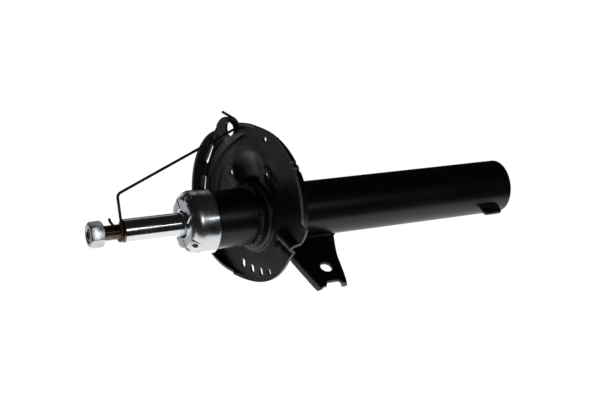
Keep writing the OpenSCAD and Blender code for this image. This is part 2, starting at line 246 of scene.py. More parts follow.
def nutZinc():
    # duller plating than the cap's, with tool marks along the flats
    mat = newMaterial("nutZinc", (0.7, 0.73, 0.76), 1.0, 0.24)
    shader = mat.node_tree.nodes["Principled BSDF"]
    haze = noiseOn(mat, 120, 6)
    marks = noiseOn(mat, 500, 4, (1, 1, 4))
    tone = ramp(mat, haze, "Fac", [(0.3, (0.55, 0.59, 0.64)), (0.7, (0.82, 0.83, 0.84))])
    link(mat, tone, "Color", shader, "Base Color")
    rough = remap(mat, haze, "Fac", 0.3, 0.7, 0.18, 0.38)
    link(mat, rough, "Result", shader, "Roughness")
    addBump(mat, [(marks, "Fac", 0.000003), (haze, "Fac", 0.00001)])
    return mat


def wireSteel():
    # oiled spring wire, dark brown with draw lines and rusty patches
    mat = newMaterial("wireSteel", (0.1, 0.065, 0.045), 0.75, 0.38)
    shader = mat.node_tree.nodes["Principled BSDF"]
    patch = noiseOn(mat, 110, 6)
    lines = noiseOn(mat, 900, 3, (0.3, 0.3, 1))
    tone = ramp(mat, patch, "Fac", [(0.32, (0.05, 0.035, 0.028)), (0.55, (0.11, 0.07, 0.05)),
                                    (0.78, (0.22, 0.12, 0.07))])
    link(mat, tone, "Color", shader, "Base Color")
    rough = remap(mat, patch, "Fac", 0.3, 0.7, 0.28, 0.55)
    link(mat, rough, "Result", shader, "Roughness")
    addBump(mat, [(lines, "Fac", 0.00003), (patch, "Fac", 0.00005)])
    return mat


def plainFinish(name, color, metallic, roughness, scale=200, depth=0.00003, spread=0.25):
    # shared recipe for the sealed inner pieces
    mat = newMaterial(name, color, metallic, roughness)
    shader = mat.node_tree.nodes["Principled BSDF"]
    grain = noiseOn(mat, scale, 6)
    darker = tuple(c * (1 - spread) for c in color)
    lighter = tuple(min(c * (1 + spread), 1) for c in color)
    tone = ramp(mat, grain, "Fac", [(0.3, darker), (0.7, lighter)])
    link(mat, tone, "Color", shader, "Base Color")
    rough = remap(mat, grain, "Fac", 0.3, 0.7, roughness * 0.8, min(roughness * 1.25, 1))
    link(mat, rough, "Result", shader, "Roughness")
    addBump(mat, [(grain, "Fac", depth)])
    return mat


finishes = {
    "black_paint": blackCoat(),
    "long_tube": blackCoat("tubeCoat", edgeWearAndHighlight=0.0),
    "weld_paint": blackCoat("weldCoat", (0.016, 0.016, 0.017), 0.3, 0.00006),
    "zinc_plate": zincPlate(),
    "rod_chrome": rodChrome(),
    "thread": threadSteel(),
    "nut_zinc": nutZinc(),
    "wire_steel": wireSteel(),
    "drawn_steel": plainFinish("drawnSteel", (0.5, 0.51, 0.53), 1.0, 0.3, 150, 0.00001),
    "sintered_iron": plainFinish("sinteredIron", (0.2, 0.2, 0.2), 0.8, 0.6, 900, 0.00006),
    "bronze": plainFinish("bronze", (0.45, 0.3, 0.14), 1.0, 0.35),
    "seal_rubber": plainFinish("sealRubber", (0.03, 0.03, 0.03), 0.0, 0.7, 600),
    "spring_steel": plainFinish("springSteel", (0.55, 0.56, 0.6), 1.0, 0.22, 120, 0.000005),
    "band_polymer": plainFinish("bandPolymer", (0.16, 0.11, 0.07), 0.0, 0.5, 400),
    "bumper_polymer": plainFinish("bumperPolymer", (0.07, 0.07, 0.065), 0.0, 0.65, 500),
}
# the tube's long faces have corners only at their ends, so the paler edge tint (partly wear, partly
# painted highlight) is left off them
for part in frame["record"]["subparts"]:
    mesh = nodes[part["node"]].data
    mesh.materials.clear()
    smoothTube = part["node"] in ("reservoir_tube", "base_cap")
    mesh.materials.append(finishes["long_tube" if smoothTube else part["material_slot"]])
print("materials ready:", len(finishes))


# ---- mesh helpers ----

def newPiece(name, verts, faces, finish, sharp=35.0):
    mesh = bpy.data.meshes.new(name)
    mesh.from_pydata([tuple(v) for v in verts], [], faces)
    mesh.validate()
    piece = bpy.data.objects.new(name, mesh)
    scene.collection.objects.link(piece)
    mesh.materials.append(finishes[finish])
    cleanMesh(piece)
    shade(piece, sharp)
    return piece


def cleanMesh(piece, weld=1e-7):
    bm = bmesh.new()
    bm.from_mesh(piece.data)
    bmesh.ops.remove_doubles(bm, verts=bm.verts, dist=weld)
    bmesh.ops.dissolve_degenerate(bm, edges=bm.edges, dist=weld)
    bmesh.ops.recalc_face_normals(bm, faces=bm.faces)
    bm.to_mesh(piece.data)
    bm.free()


def shade(piece, sharp=35.0):
    piece.data.shade_smooth()
    piece.data.set_sharp_from_angle(angle=math.radians(sharp))


def applied(piece):
    # bakes the modifiers into the mesh
    graph = bpy.context.evaluated_depsgraph_get()
    mesh = bpy.data.meshes.new_from_object(piece.evaluated_get(graph))
    old = piece.data
    piece.modifiers.clear()
    piece.data = mesh
    bpy.data.meshes.remove(old)
    return piece


def cutWith(piece, cutters, operation="DIFFERENCE"):
    for cutter in cutters:
        mod = piece.modifiers.new("cut", "BOOLEAN")
        mod.operation = operation
        mod.solver = "EXACT"
        mod.object = cutter
    bpy.context.view_layer.update()
    applied(piece)
    for cutter in cutters:
        bpy.data.objects.remove(cutter)
    return piece


def softEdges(piece, width, angle=35.0, segments=2):
    mod = piece.modifiers.new("soft", "BEVEL")
    mod.width = width
    mod.segments = segments
    mod.limit_method = "ANGLE"
    mod.angle_limit = math.radians(angle)
    bpy.context.view_layer.update()
    applied(piece)
    shade(piece, 40)
    return piece


def gridFaces(rows, columns, closedColumns=True, closedRows=False):
    faces = []
    for i in range(rows if closedRows else rows - 1):
        for k in range(columns if closedColumns else columns - 1):
            i2, k2 = (i + 1) % rows, (k + 1) % columns
            faces.append((i * columns + k, i * columns + k2, i2 * columns + k2, i2 * columns + k))
    return faces


def rounded(points, steps=5):
    # outline of (x, y, corner radius), with its corners turned into arcs
    result = []
    n = len(points)
    for i, (x, y, r) in enumerate(points):
        here = Vector((x, y))
        if r <= 0:
            result.append(here)
            continue
        a = Vector(points[i - 1][:2]) - here
        b = Vector(points[(i + 1) % n][:2]) - here
        reachA, reachB = min(r, a.length * 0.49), min(r, b.length * 0.49)
        for s in range(steps + 1):
            t = s / steps
            result.append(here + (1 - t) ** 2 * reachA * a.normalized()
                          + t ** 2 * reachB * b.normalized())
    return result


def lathe(name, outline, finish, steps=128, wobble=None, sharp=35.0):
    # turns a closed outline of (radius, height) in mm about the rod's axis
    verts = []
    for p in outline:
        for k in range(steps):
            a = 2 * math.pi * k / steps
            r, z = p.x, p.y
            if wobble:
                r, z = wobble(r, z, a)
            verts.append((r * math.cos(a) * mm, r * math.sin(a) * mm, z * mm))
    return newPiece(name, verts, gridFaces(len(outline), steps, True, True), finish, sharp)


def prism(name, outline, low, high, finish="black_paint"):
    # straight solid on a flat outline in metres
    n = len(outline)
    verts = [(x, y, low) for x, y in outline] + [(x, y, high) for x, y in outline]
    faces = [(k, (k + 1) % n, n + (k + 1) % n, n + k) for k in range(n)]
    faces += [tuple(range(n))[::-1], tuple(range(n, 2 * n))]
    return newPiece(name, verts, faces, finish)


def slotOutline(at, length, width, turn, steps=10):
    # slot outline with round ends, in metres
    half = max(length - width, 0) / 2
    points = []
    for k in range(2 * steps):
        a = math.pi * k / steps - math.pi / 2 + math.pi / (2 * steps)
        x = math.cos(a) * width / 2 + (half if math.cos(a) > 0 else -half)
        y = math.sin(a) * width / 2
        points.append((at[0] + x * math.cos(turn) - y * math.sin(turn),
                       at[1] + x * math.sin(turn) + y * math.cos(turn)))
    return points


def hexagon(flats):
    # corners of a hexagon, in metres, from its width across flats in mm
    corner = flats / 2 / math.cos(math.pi / 6)
    return [(corner * math.cos(math.pi / 3 * k) * mm, corner * math.sin(math.pi / 3 * k) * mm)
            for k in range(6)]


def sweep(name, path, radius, finish, sides=16):
    # round bar along a path, with domed ends; radius may be a function of the step
    path = [Vector(p) for p in path]
    n = len(path)
    tangents = [(path[min(i + 1, n - 1)] - path[max(i - 1, 0)]).normalized() for i in range(n)]
    side = tangents[0].orthogonal().normalized()
    verts = []
    width = radius if callable(radius) else (lambda i: radius)
    dome = 0.35  # how far the ends bulge, in radii

    def ring(centre, tangent, size):
        up = tangent.cross(side)
        for k in range(sides):
            a = 2 * math.pi * k / sides
            verts.append(centre + size * (math.cos(a) * side + math.sin(a) * up))

    for step in (0.02, 0.55, 0.85):
        out = tangents[0] * width(0) * math.sqrt(1 - step * step) * dome
        ring(path[0] - out, tangents[0], width(0) * step)
    for i in range(n):
        side = (side - tangents[i] * side.dot(tangents[i])).normalized()
        ring(path[i], tangents[i], width(i))
    for step in (0.85, 0.55, 0.02):
        out = tangents[-1] * width(n - 1) * math.sqrt(1 - step * step) * dome
        ring(path[-1] + out, tangents[-1], width(n - 1) * step)
    rings = len(verts) // sides
    faces = gridFaces(rings, sides)
    faces += [tuple(range(sides))[::-1], tuple(range((rings - 1) * sides, rings * sides))]
    return newPiece(name, verts, faces, finish, 50)


def fit(piece, body, slot, *replaced):
    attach(piece, body)
    if replaced:
        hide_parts(*replaced)
    return piece


# ---- spring seat ----

seatSize = {
    "plate": 2.6,  # thickness of the pressed steel, mm
    "hubRadius": 30.6,
    "hubHeight": 6.0,
    "fillet": 6.5,  # width of the curve from the hub down to the plate
    "shares": (0.12, 0.24, 0.84),  # where hub, fillet and plate end, from the tube to the rim's top
    "edge": [(-180, 77), (-165, 75.5), (-150, 73), (-136, 71.5), (-127, 73.5), (-118, 79.5),
             (-108, 82.5), (-96, 83.5), (-84, 83), (-70, 81), (-55, 78.4), (-38, 76), (-20, 74.2),
             (-5, 75), (4, 76.4), (9, 78.2), (12, 81.5), (15, 86), (19, 88.6), (23, 89.2), (27, 88.4),
             (30, 87), (31.5, 86.2), (34, 87), (39, 87.4), (50, 85.8), (70, 84), (95, 83),
             (115, 82.5), (135, 81.5), (150, 80), (165, 78.5)],
    "wall": [(-180, 0), (-165, 0), (-150, 0), (-136, 0), (-124, 0), (-113, 0), (-109, 0.5),
             (-105, 6.5), (-100, 8.2), (-92, 9), (-84, 9), (-77, 8.6), (-66, 7.6), (-56, 6.4),
             (-43, 5.2), (-31, 4.2), (-20, 3), (-8, 1.6), (4, 0.6), (10, 0.2), (16, 0), (24, 0),
             (30, 0.2), (33, 4.5), (38, 8.5), (44, 11.5), (52, 13.8), (70, 15), (95, 14.5),
             (115, 12.5), (130, 10), (145, 6), (158, 1.5), (168, 0)],
    "flare": 0.22,  # how far the rim leans out for each mm it rises
    "fold": (2.4, 4.2),  # radius of the fold between plate and rim, low side and high side
    "ear": (75.0, 30.0, 10.0, 14.0),  # middle and half-widths of the lobe for the wire
    "notches": (-64.5, -70.0),  # angles of the small notches in the low rim
    "roundHoles": [(30, 30, 5.4), (25, -27, 5.4), (58.5, -29, 5.4)],  # x, y, diameter
    # x, y, length, width and turn of the wire's hole and the four drains
    "slots": [(72, 21.6, 13.5, 12, 8), (-59.3, 25.2, 9.2, 6.6, -14), (-64.5, 12.3, 8.8, 6.2, -8),
              (-67.3, -1, 8.4, 5.6, -2), (-67.5, -14, 6.8, 4.6, 4)],
    "edgeSlots": [(52.5, 81.6, 23, 3.6), (74.6, 80.8, 15, 3.0)],  # angle, reach, length, width
}


def seatHeight(x, y):
    # height of the pressing over its flat, in mm, at a place in the seat's own frame
    r = math.hypot(x, y)
    a = math.degrees(math.atan2(y, x))
    fromTube = math.hypot(x + seatMiddle.x / mm, y)
    tubeAngle = math.degrees(math.atan2(y, x + seatMiddle.x / mm))
    h = 0.0
    # two raised rings for the coil on the ear's side, fading out towards the ends
    arc = smooth(a, -12, 18) * (1 - smooth(a, 100, 130))
    h += 2.2 * bump(r, 58 + 6 * (1 - smooth(a, -10, 25)), 2.6) * arc
    h += 1.8 * bump(r, 69.5 + 4.5 * smooth(a, 20, 75), 2.4) * arc
    h -= 1.0 * bump(r, 64, 3.0) * arc
    # dished pocket beside the tube, with a soft lip
    pocket = math.hypot(x - 31, (y - 2) / 1.25)
    h -= 5.0 * max(1 - (pocket / 20) ** 2, 0) ** 1.5
    h += 0.5 * bump(pocket, 22, 4.0) * smooth(fromTube, 33, 40)
    # the ear for the wire stands a little higher than the plate
    ex, ey, ea, eb = seatSize["ear"]
    h += 3.6 * (1 - smooth(math.hypot((x - ex) / ea, (y - ey) / eb), 0.75, 1.5)) * smooth(r, 62, 72)
    # bosses round the two locating holes
    for hx, hy in ((30, 30), (25, -27)):
        h += 0.5 * bump(math.hypot(x - hx, y - hy), 6.0, 2.2)
    # rolled groove that follows the tube on the low side
    low = smooth(-tubeAngle, 15, 45) * (1 - smooth(-tubeAngle, 120, 140))
    h -= 2.2 * bump(fromTube, 42, 3.0) * low
    h += 1.2 * bump(fromTube, 48.5, 4.0) * low
    # end stop for the coil: a tent pressed up across the channel
    stopAngle = a + 126 + 0.06 * (r - 65)
    tent = bump(stopAngle * r / 57.3, 0, 4.2) * smooth(r, 46, 54) * (1 - smooth(r, 73, 78))
    h += 6.0 * tent
    h -= 1.6 * bump(stopAngle * r / 57.3, -8.5, 4.0) * smooth(r, 46, 56) * (1 - smooth(r, 72, 78))
    # lobe sinks a little towards its edge on the side away from the ear
    far = smooth(-x, 35, 75)
    h -= 2.0 * far * smooth(r, 50, 74) * (1 - smooth(a, 100, 140) * (1 - smooth(a, 140, 175)))
    # small unevenness of a real pressing
    h += 0.18 * noise.noise(Vector((x * 0.06, y * 0.06, 3.1)))
    return h


def seatPoint(angle, run, station):
    # a point of the pressing: angle round the tube, run from the hub to the rim's top
    a = math.radians(angle)
    away = Vector((math.cos(a), math.sin(a)))
    hub = Vector((-seatMiddle.x / mm, 0))
    edgeReach, wall, foldSize = station
    hubEnd, filletEnd, plateEnd = seatSize["shares"]
    hubRadius, hubTop, fillet = seatSize["hubRadius"], seatSize["hubHeight"], seatSize["fillet"]
    fold = min(foldSize, max(wall, 1.0))
    if run <= hubEnd:
        t = run / hubEnd
        start = tubeRadius / mm + 0.1
        place = hub + away * (start + (hubRadius - start) * smooth(t, 0.25, 1.0))
        return place.x, place.y, hubTop * (1 - 0.05 * t) - 0.6 * smooth(t, 0.25, 1)
    if run <= filletEnd:
        t = (run - hubEnd) / (filletEnd - hubEnd)
        drop = (hubTop * 0.95 - 0.6) * (1 - t) ** 2.0
        place = hub + away * (hubRadius + fillet * t ** 1.8)
        return place.x, place.y, drop + seatHeight(place.x, place.y) * smooth(t, 0.2, 1)
    if run <= plateEnd:
        t = (run - filletEnd) / (plateEnd - filletEnd)
        inner, outer = hubRadius + fillet, edgeReach - fold
        place = hub + away * (inner + (outer - inner) * t)
        return place.x, place.y, seatHeight(place.x, place.y)
    # the fold takes the first part of the rim's share, its wall the rest
    t = (run - plateEnd) / (1 - plateEnd)
    foldShare = 0.45
    place = hub + away * (edgeReach - fold)
    base = seatHeight(place.x, place.y)
    full = math.pi / 2 * min(max(wall / fold, 0.01), 1.0)
    turn = min(t / foldShare, 1.0) * full
    out = fold * math.sin(turn) / math.sin(full)
    up = fold * (1 - math.cos(turn)) / math.sin(full)
    rest = max(t - foldShare, 0) / (1 - foldShare)
    up += rest * max(wall - fold, 0)
    out += rest * max(wall - fold, 0) * seatSize["flare"]
    out += rest * 0.6 * (1 - smooth(wall, 0.0, foldSize))
    place = hub + away * (edgeReach - fold + out)
    return place.x, place.y, base + up


def reachFromTube(angle):
    # how far the plate's edge is from the tube's axis along an angle, and the rim there
    a = math.radians(angle)
    reach = 60.0
    for _ in range(14):
        x = -seatMiddle.x / mm + reach * math.cos(a)
        y = reach * math.sin(a)
        own = math.degrees(math.atan2(y, x))
        reach += 0.8 * (easedTable(seatSize["edge"], own) - math.hypot(x, y))
    x = -seatMiddle.x / mm + reach * math.cos(a)
    own = math.degrees(math.atan2(reach * math.sin(a), x))
    lowFold, highFold = seatSize["fold"]
    fold = lowFold + (highFold - lowFold) * smooth(math.sin(math.radians(own)), -0.1, 0.5)
    return reach, max(easedTable(seatSize["wall"], own), 0.0), fold


def springSeat():
    columns, rows = 600, 92
    angles = [k * 360 / columns for k in range(columns)]
    stations = {}
    for a in angles:
        reach, wall, fold = reachFromTube(a)
        x = -seatMiddle.x / mm + reach * math.cos(math.radians(a))
        own = math.degrees(math.atan2(reach * math.sin(math.radians(a)), x))
        if any(abs(own - notch) < 1.1 for notch in seatSize["notches"]):
            wall *= 0.6
            reach -= 1.2
        stations[a] = (reach, wall, fold)
    verts = []
    for i in range(rows):
        for a in angles:
            x, y, z = seatPoint(a, i / (rows - 1), stations[a])
            verts.append(seatTurn @ Vector((x * mm, y * mm, z * mm)))
    piece = newPiece("springSeat", verts, gridFaces(rows, columns), "black_paint", 50)
    solid = piece.modifiers.new("thick", "SOLIDIFY")
    solid.thickness = seatSize["plate"] * mm
    solid.offset = -1
    solid.use_even_offset = True
    solid.use_quality_normals = True
    bpy.context.view_layer.update()
    applied(piece)
    cleanMesh(piece)
    slots = seatSize["slots"][:1] + [(x, y, d, d, 0) for x, y, d in seatSize["roundHoles"]]
    slots += seatSize["slots"][1:]
    for angle, reach, length, width in seatSize["edgeSlots"]:
        a = math.radians(angle)
        slots.append((reach * math.cos(a), reach * math.sin(a), length, width, angle + 90))
    holes = [slotOutline((x * mm, y * mm), length * mm, width * mm, math.radians(turn))
             for x, y, length, width, turn in slots]
    cutters = []
    for outline in holes:
        cutter = prism("holeCutter", outline, -9 * mm, 11 * mm)
        cutter.data.transform(seatTurn)
        cutters.append(cutter)
    cutWith(piece, cutters)
    shade(piece, 38)
    return piece


seat = fit(springSeat(), "strut_body", "black_paint", "spring_seat")
print("spring seat pressed:", len(seat.data.polygons), "faces")


# ---- weld beads ----

def weldBead(name, path, radius, ripple=2.2 * mm, seed=0):
    # a bead of overlapping puddles along a path
    total, travel = 0.0, [0.0]
    for a, b in zip(path, path[1:]):
        total += (b - a).length
        travel.append(total)

    def width(i):
        s = travel[i] / ripple
        puddle = 0.82 + 0.22 * (1 - (s % 1.0)) ** 0.7
        taper = (smooth(travel[i], -0.5 * radius, 1.6 * radius)
                 * smooth(total - travel[i], -0.5 * radius, 1.6 * radius))
        uneven = 1 + 0.08 * noise.noise(Vector((s, seed, 0.5)))
        return radius * puddle * (0.45 + 0.55 * taper) * uneven

    return sweep(name, path, width, "weld_paint", 14)


def arcPath(radius, z, start, end, lift, steps=120):
    # arc round the tube that rises by lift towards +Y
    points = []
    for k in range(steps + 1):
        a = math.radians(start + (end - start) * k / steps)
        points.append(Vector((radius * math.cos(a), radius * math.sin(a), z + lift * math.sin(a))))
    return points


seatWelds = {"height": 296.2 * mm, "radius": 3.0 * mm, "spans": [(195, 285), (318, 400), (75, 160)]}
weldLift = math.tan(seatSlant) * tubeRadius * 0.85
for i, (start, end) in enumerate(seatWelds["spans"]):
    path = arcPath(tubeRadius + 0.9 * mm, seatWelds["height"], start, end, weldLift)
    bead = weldBead("seatWeld" + str(i + 1), path, seatWelds["radius"], seed=i)
    fit(bead, "strut_body", "weld_paint", *(["seat_weld"] if i == 0 else []))


# ---- drop-link bracket ----

bracketSize = {
    "webOffset": -17.4,  # outer face of the web, mm from the rod's axis
    "webTip": 79.4,
    "flangeTip": 84.4,
    "tipRound": 3.0,  # how far the flanges' corners are rounded back
    "thick": 3.2,
    "bend": 4.2,
    "depth": 10.6,
    "rootReach": 26.3,  # the sheet starts inside the tube's wall
    "hole": (62.0, 231.0, 6.0),
    "low": [(0, 198), (20, 202.5), (32, 206.5), (42, 209.6), (50, 211.4), (62, 213.1), (75, 215.2),
            (85, 217.6), (95, 220)],
    "high": [(0, 261), (20, 259), (40, 257), (52, 254.3), (62, 251.8), (75, 248.4), (85, 245), (95, 241)],
    "webWeld": (209, 44, 2.2),  # foot, height and radius of the bead along the web
    "flangeWeld": (9.6, 1.7),  # width and radius of the beads along the flanges
}


def bracketEdge(side, t):
    # height of the low or high edge at a reach from the rod's axis
    return easedTable(bracketSize[side], t, 1000.0)


def onBracket(t, n, z):
    # a place in mm: reach along the bracket, offset across it, height
    return bracketTurn @ Vector((t * mm, n * mm, z * mm))


def linkBracket():
    size = bracketSize
    bend, depth, web = size["bend"], size["depth"], size["webOffset"]
    steps, arc = 64, 8
    # the channel's section, walked from one flange's edge over the web to the other's
    section = [("low", depth - (depth - bend) * k / 6) for k in range(7)]
    section += [("lowBend", math.pi / 2 * k / arc) for k in range(1, arc + 1)]
    section += [("web", k / 22) for k in range(1, 22)]
    section += [("highBend", math.pi / 2 * k / arc) for k in range(arc + 1)]
    section += [("high", bend + (depth - bend) * k / 6) for k in range(1, 7)]
    verts = []
    for i in range(steps + 1):
        for kind, v in section:
            flange = kind in ("low", "high")
            # the web ends short of the flanges, whose corners are rounded off
            across = abs(v - 0.5) * 2 if kind == "web" else 1.0
            tip = size["webTip"] + (size["flangeTip"] - size["webTip"]) * smooth(across, 0.5, 1.0)
            if flange:
                tip = size["flangeTip"] - size["tipRound"] * smooth(v, bend, depth) ** 1.5
            offset = web - (v if flange else 0)
            start = math.sqrt(max(size["rootReach"] ** 2 - offset ** 2, 49.0))
            t = start + (tip - start) * (i / steps)
            low, high = bracketEdge("low", t), bracketEdge("high", t)
            if kind == "low":
                z, n = low, v
            elif kind == "high":
                z, n = high, v
            elif kind == "lowBend":
                z, n = low + bend * (1 - math.cos(v)), bend * (1 - math.sin(v))
            elif kind == "highBend":
                z, n = high - bend * (1 - math.sin(v)), bend * (1 - math.cos(v))
            else:
                z, n = low + bend + (high - low - 2 * bend) * v, 0
            verts.append(onBracket(t, web - n, z))
    faces = gridFaces(steps + 1, len(section), False)
    piece = newPiece("linkBracket", verts, faces, "black_paint", 60)
    # the sheet thickens towards the inside of the channel
    inside, onWeb = onBracket(60, web - 6, 235), onBracket(60, web, 235)
    face = min(piece.data.polygons, key=lambda f: (f.center - onWeb).length)
    outward = face.normal.dot(face.center - inside) > 0
    solid = piece.modifiers.new("thick", "SOLIDIFY")
    solid.thickness = size["thick"] * mm
    solid.offset = -1 if outward else 1
    solid.use_even_offset = True
    bpy.context.view_layer.update()
    applied(piece)
    cleanMesh(piece)
    holeT, holeZ, holeR = size["hole"]
    ring = [(holeR * math.cos(2 * math.pi * k / 48) * mm, holeR * math.sin(2 * math.pi * k / 48) * mm)
            for k in range(48)]
    cutter = prism("boreCutter", ring, -8 * mm, 8 * mm)
    place = Matrix.Translation((holeT * mm, web * mm, holeZ * mm)) @ Matrix.Rotation(math.pi / 2, 4, "X")
    cutter.data.transform(bracketTurn @ place)
    cutWith(piece, [cutter])
    return softEdges(piece, 0.35 * mm, 50)


fit(linkBracket(), "strut_body", "black_paint", "link_bracket")
foot, height, beadRadius = bracketSize["webWeld"]
corner = math.sqrt((tubeRadius / mm) ** 2 - bracketSize["webOffset"] ** 2)
path = [onBracket(corner + 0.7, bracketSize["webOffset"] + 0.7, foot + height * k / 60) for k in range(61)]
fit(weldBead("bracketWeld", path, beadRadius * mm, seed=5), "strut_body", "weld_paint", "bracket_weld")
beadWidth, beadRadius = bracketSize["flangeWeld"]
for i, (side, lift) in enumerate((("low", 0.4), ("high", -0.4))):
    path = []
    for k in range(50):
        n = bracketSize["webOffset"] - 0.5 - beadWidth * k / 49
        t = math.sqrt(max((tubeRadius / mm + 0.4) ** 2 - n * n, 30))
        path.append(onBracket(t, n, bracketEdge(side, t) + lift))
    bead = weldBead("flangeWeld" + str(i + 1), path, beadRadius * mm, seed=7 + i)
    fit(bead, "strut_body", "weld_paint")
print("bracket and welds placed")


# ---- locating tab ----

tabSize = {
    # reach from the rod's axis, height and corner radius
    "outline": [(26.2, 36.5, 0), (26.2, 13.5, 0), (38.0, 15.2, 2.4), (38.2, 36.8, 4.5), (30.5, 36.6, 1.0)],
    "half": 1.5,  # half its thickness
    "weld": (15, 20.5, 1.1),  # foot, height and radius of the beads
}
tabTurn = Matrix.Rotation(math.radians(225), 4, "Z")


def locatingTab():
    points = [(p.x * mm, p.y * mm) for p in rounded(tabSize["outline"])]
    piece = prism("locatingTab", points, -tabSize["half"] * mm, tabSize["half"] * mm)
    piece.data.transform(tabTurn @ Matrix.Rotation(math.pi / 2, 4, "X"))
    return softEdges(piece, 0.45 * mm, 40, 3)


fit(locatingTab(), "strut_body", "black_paint", "locating_tab")
foot, height, beadRadius = tabSize["weld"]
for side, name in ((-1, "tabWeldLeft"), (1, "tabWeldRight")):
    path = [tabTurn @ Vector((tubeRadius + 0.3 * mm, side * 1.9 * mm, (foot + height * k / 40) * mm))
            for k in range(41)]
    fit(weldBead(name, path, beadRadius * mm, 1.4 * mm, 11 + side), "strut_body", "weld_paint")


# ---- bump cap ----

capSize = {
    "flat": 20.0,  # radius of the flat face, mm
    "shoulder": 11.0,  # height of the rounded shoulder
    "wall": 2.5,
    "grooves": (10, 100, 190, 280),
    "dimples": (-134, -34, 56, 146),
    "dimpleRadius": 27.6,
}


def bumpCap():
    top, low, outer = capHigh.z / mm, capLow.z / mm, capHigh.x / mm
    inner = tubeRadius / mm + 0.05
    flat, rise, wall = capSize["flat"], capSize["shoulder"], capSize["wall"]
    start = top - rise  # height where the shoulder begins
    outline = [Vector(p) for p in ((inner + 0.5, low), (outer - 0.9, low), (outer - 0.25, low + 0.4),
                                   (outer, low + 1.4))]
    # the skirt swells very slightly under the shoulder
    outline += [Vector((outer + 0.3 * bump(z, start - 1, 3), z))
                for z in (low + 3, low + 6, low + 9, low + 12, low + 14, start - 1)]
    for t in range(90, -1, -5):
        a = math.radians(t)
        outline.append(Vector((flat + (outer + 0.3 - flat) * math.sin(a), start + rise * math.cos(a))))
    outline += [Vector(p) for p in ((14.2, top), (13.2, top - 0.5), (12.7, top - 1.5),
                                    (12.7, top - wall), (13.5, top - wall - 0.4))]
    for t in range(0, 91, 10):
        a = math.radians(t)
        outline.append(Vector((flat + (inner - flat) * math.sin(a),
                               tubeTop / mm + 0.2 + (rise - wall - 2.4) * math.cos(a))))
    outline += [Vector((inner, low + 0.6))]
    dense = []
    for a, b in zip(outline, outline[1:] + outline[:1]):
        pieces = max(int((b - a).length / 0.6), 1)
        dense += [a + (b - a) * s / pieces for s in range(pieces)]

    def pressed(r, z, a):
        turn = math.degrees(a)
        if z > start and r > 12.65:
            for groove in capSize["grooves"]:
                away = (turn - groove - 1.6 * (r - 20) + 180) % 360 - 180
                z -= 1.1 * bump(away * r / 57.3, 0, 0.75) * smooth(r, 13.5, 15.5) * (1 - smooth(r, 25, 28))
            for dimple in capSize["dimples"]:
                away = (turn - dimple + 180) % 360 - 180
                spot = math.hypot(away * r / 57.3, 1.3 * (r - capSize["dimpleRadius"]))
                push = 1.9 * (1 - smooth(spot, 0.8, 2.9)) - 0.5 * bump(spot, 3.6, 0.9)
                z -= push
                r -= 0.8 * push
            # faint waves left by the press
            z += 0.07 * math.sin(3 * a + 0.4) * smooth(r, 16, 28)
        return r, z

    return lathe("bumpCap", dense, "zinc_plate", 300, pressed, 45)


fit(bumpCap(), "strut_body", "zinc_plate", "bump_cap")


# ---- piston rod: chromed shaft and threaded neck ----

rodSize = {
    "shoulder": 419.3,
    "neck": 7.0,
    "pitch": 1.5,
    "threadDepth": 0.4,
    "spigot": (6.0, 94.0, 123.5),  # radius, foot and top of the thin end that holds the piston
    "socketFlats": 7.0,
}


def rodShaft():
    r = rodRadius / mm
    spigotR, spigotLow, spigotHigh = rodSize["spigot"]
    top = rodSize["shoulder"]
    outline = rounded([(0, spigotLow, 0), (spigotR - 0.8, spigotLow, 0), (spigotR, spigotLow + 0.8, 0),
                       (spigotR, spigotHigh, 0), (r - 0.6, spigotHigh, 0), (r, spigotHigh + 0.6, 0),
                       (r, top - 2.0, 0.6), (r - 0.1, top - 1.9, 0)])
    outline += [Vector((r - 0.1, top - 2.2)), Vector((0, top - 2.2))]
    return lathe("rodShaft", outline, "rod_chrome", 160)


def rodNeck():
    # shoulder, rolled thread and rounded end with its hexagon socket
    neck = rodSize["neck"]
    r = rodRadius / mm
    top = rodTop / mm
    shoulder = rodSize["shoulder"]
    steps = 96
    threadLow = shoulder + 1.2
    threadHigh = top - 1.0
    rows = [(0.0, shoulder - 2.1), (r - 0.15, shoulder - 2.1), (r - 0.1, shoulder - 1.9),
            (r - 0.8, shoulder - 0.9), (r - 1.6, shoulder - 0.1), (r - 2.0, shoulder),
            (neck + 0.6, shoulder), (neck - 0.5, shoulder + 0.25), (neck - 0.62, shoulder + 0.9)]
    count = int((threadHigh - threadLow) / (rodSize["pitch"] / 9))
    rows += [(None, threadLow + (threadHigh - threadLow) * k / count) for k in range(count + 1)]
    rows += [(neck - 1.3, top - 0.35), (neck - 1.8, top - 0.05), (neck - 2.2, top), (0.0, top)]
    verts = []
    for radius, z in rows:
        for k in range(steps):
            a = 2 * math.pi * k / steps
            rr = radius
            if radius is None:
                phase = (z / rodSize["pitch"] - a / (2 * math.pi)) % 1.0
                crest = 1 - abs(2 * phase - 1)
                depth = rodSize["threadDepth"] * (1 - smooth(crest, 0.1, 0.85))
                runIn = smooth(z, threadLow, threadLow + 2.0)
                ends = smooth(threadHigh - z, 0.0, 1.6)
                rr = neck - 0.02 - depth * (0.25 + 0.75 * runIn) * ends - 0.9 * (1 - ends)
            verts.append((rr * math.cos(a) * mm, rr * math.sin(a) * mm, z * mm))
    piece = newPiece("rodNeck", verts, gridFaces(len(rows), steps), "thread", 50)
    cutter = prism("socketCutter", hexagon(rodSize["socketFlats"]), (top - 7) * mm, (top + 2) * mm)
    cutWith(piece, [cutter])
    shade(piece, 50)
    return piece


fit(rodShaft(), "rod", "rod_chrome", "piston_rod")
fit(rodNeck(), "rod", "rod_chrome")


# ---- rod nut ----

nutSize = {"flats": 21.0, "bevel": 1.7, "turn": 6.0}


